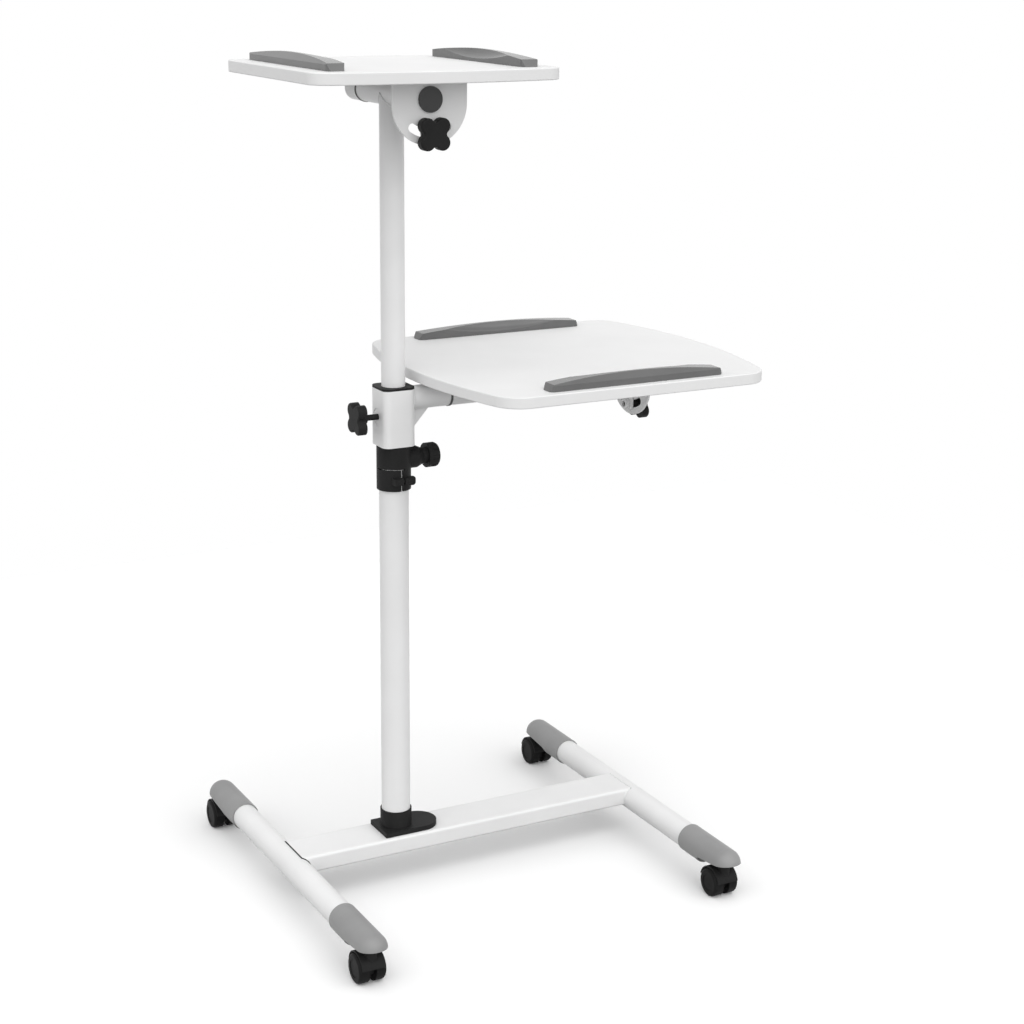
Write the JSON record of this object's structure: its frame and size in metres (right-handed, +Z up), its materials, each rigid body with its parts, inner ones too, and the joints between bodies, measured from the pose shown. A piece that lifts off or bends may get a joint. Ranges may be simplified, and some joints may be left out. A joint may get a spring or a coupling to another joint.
{
  "type": "projector stand",
  "caption": "Portable projector stand on casters with a telescopic column and two tilting white shelves",
  "frame": {"origin": "on the floor under the middle of the whole stand", "axes": "X runs along the crossbar towards the lower shelf, Y along the side tubes to the back, Z up"},
  "size_m": [0.6654, 0.5845, 1.1416],
  "materials": {
    "white_metal": "satin white powder coat",
    "white_board": "white melamine on particle board",
    "grey_plastic": "fine grained grey moulding",
    "black_plastic": "satin black moulding",
    "black_tread": "black nylon wheel"
  },
  "bodies": {
    "base": {"side_tube_left": "white_metal", "side_tube_right": "white_metal", "crossbar": "white_metal", "crossbar_plug_left": "black_plastic", "crossbar_plug_right": "black_plastic", "end_cap_front_left": "grey_plastic", "end_cap_front_right": "grey_plastic", "end_cap_back_left": "grey_plastic", "end_cap_back_right": "grey_plastic", "column_foot": "black_plastic", "lower_tube": "white_metal", "height_clamp": "black_plastic", "clamp_wing_bolt": "black_plastic"},
    "height_knob": {"height_knob": "black_plastic"},
    "upper_column": {"upper_tube": "white_metal", "top_arm": "white_metal", "top_arm_plug": "black_plastic", "top_arm_ring": "black_plastic"},
    "top_tilt_knob": {"top_tilt_knob": "black_plastic"},
    "top_shelf": {"top_board": "white_board", "top_stop_left": "grey_plastic", "top_stop_right": "grey_plastic", "top_tilt_plate": "white_metal", "top_hinge_barrel": "white_metal"},
    "carriage": {"carriage_sleeve": "white_metal", "carriage_insert": "black_plastic", "lower_arm_stub": "white_metal", "lower_arm_rod": "white_metal", "lower_arm_ring": "black_plastic", "lower_arm_plug": "black_plastic"},
    "carriage_knob": {"carriage_knob": "black_plastic"},
    "lower_tilt_knob": {"lower_tilt_knob": "black_plastic"},
    "lower_shelf": {"lower_board": "white_board", "lower_stop_front": "grey_plastic", "lower_stop_back": "grey_plastic", "lower_tilt_plate": "white_metal", "lower_hinge_barrel": "white_metal"},
    "caster_front_left": {"caster_body_front_left": "black_plastic"},
    "wheels_front_left": {"caster_wheels_front_left": "black_tread"},
    "caster_front_right": {"caster_body_front_right": "black_plastic"},
    "wheels_front_right": {"caster_wheels_front_right": "black_tread"},
    "caster_back_left": {"caster_body_back_left": "black_plastic"},
    "wheels_back_left": {"caster_wheels_back_left": "black_tread"},
    "caster_back_right": {"caster_body_back_right": "black_plastic"},
    "wheels_back_right": {"caster_wheels_back_right": "black_tread"}
  },
  "joints": [
    {"name": "column_height", "type": "slide", "parent": "base", "child": "upper_column", "axis": [0, 0, 1], "range_m": [0, 0.2]},
    {"name": "carriage_height", "type": "slide", "parent": "upper_column", "child": "carriage", "axis": [0, 0, 1], "range_m": [0, 0.15]},
    {"name": "top_tilt", "type": "hinge", "parent": "upper_column", "child": "top_shelf", "pos_m": [-0.15125, 0.00267, 1.0886], "axis": [0, -1, 0], "range_deg": [-35, 35]},
    {"name": "lower_tilt", "type": "hinge", "parent": "carriage", "child": "lower_shelf", "pos_m": [0.04875, 0.00267, 0.6896], "axis": [1, 0, 0], "range_deg": [-35, 35]},
    {"name": "height_knob_turn", "type": "hinge", "parent": "base", "child": "height_knob", "pos_m": [-0.10125, 0.00267, 0.608], "axis": [1, 0, 0], "continuous": true},
    {"name": "carriage_knob_turn", "type": "hinge", "parent": "carriage", "child": "carriage_knob", "pos_m": [-0.20125, 0.00267, 0.668], "axis": [-1, 0, 0], "continuous": true},
    {"name": "top_tilt_knob_turn", "type": "hinge", "parent": "upper_column", "child": "top_tilt_knob", "pos_m": [-0.15125, -0.11233, 1.0471], "axis": [0, -1, 0], "continuous": true},
    {"name": "lower_tilt_knob_turn", "type": "hinge", "parent": "carriage", "child": "lower_tilt_knob", "pos_m": [0.22275, 0.00267, 0.6481], "axis": [1, 0, 0], "continuous": true},
    {"name": "caster_front_left_swivel", "type": "hinge", "parent": "base", "child": "caster_front_left", "pos_m": [-0.31275, -0.26733, 0.05], "axis": [0, 0, 1], "continuous": true},
    {"name": "wheels_front_left_roll", "type": "hinge", "parent": "caster_front_left", "child": "wheels_front_left", "pos_m": [-0.31275, -0.25633, 0.02], "axis": [1, 0, 0], "continuous": true},
    {"name": "caster_front_right_swivel", "type": "hinge", "parent": "base", "child": "caster_front_right", "pos_m": [0.22325, -0.26733, 0.05], "axis": [0, 0, 1], "continuous": true},
    {"name": "wheels_front_right_roll", "type": "hinge", "parent": "caster_front_right", "child": "wheels_front_right", "pos_m": [0.22325, -0.25633, 0.02], "axis": [1, 0, 0], "continuous": true},
    {"name": "caster_back_left_swivel", "type": "hinge", "parent": "base", "child": "caster_back_left", "pos_m": [-0.31275, 0.25867, 0.05], "axis": [0, 0, 1], "continuous": true},
    {"name": "wheels_back_left_roll", "type": "hinge", "parent": "caster_back_left", "child": "wheels_back_left", "pos_m": [-0.31275, 0.26967, 0.02], "axis": [1, 0, 0], "continuous": true},
    {"name": "caster_back_right_swivel", "type": "hinge", "parent": "base", "child": "caster_back_right", "pos_m": [0.22325, 0.25867, 0.05], "axis": [0, 0, 1], "continuous": true},
    {"name": "wheels_back_right_roll", "type": "hinge", "parent": "caster_back_right", "child": "wheels_back_right", "pos_m": [0.22325, 0.26967, 0.02], "axis": [1, 0, 0], "continuous": true}
  ]
}
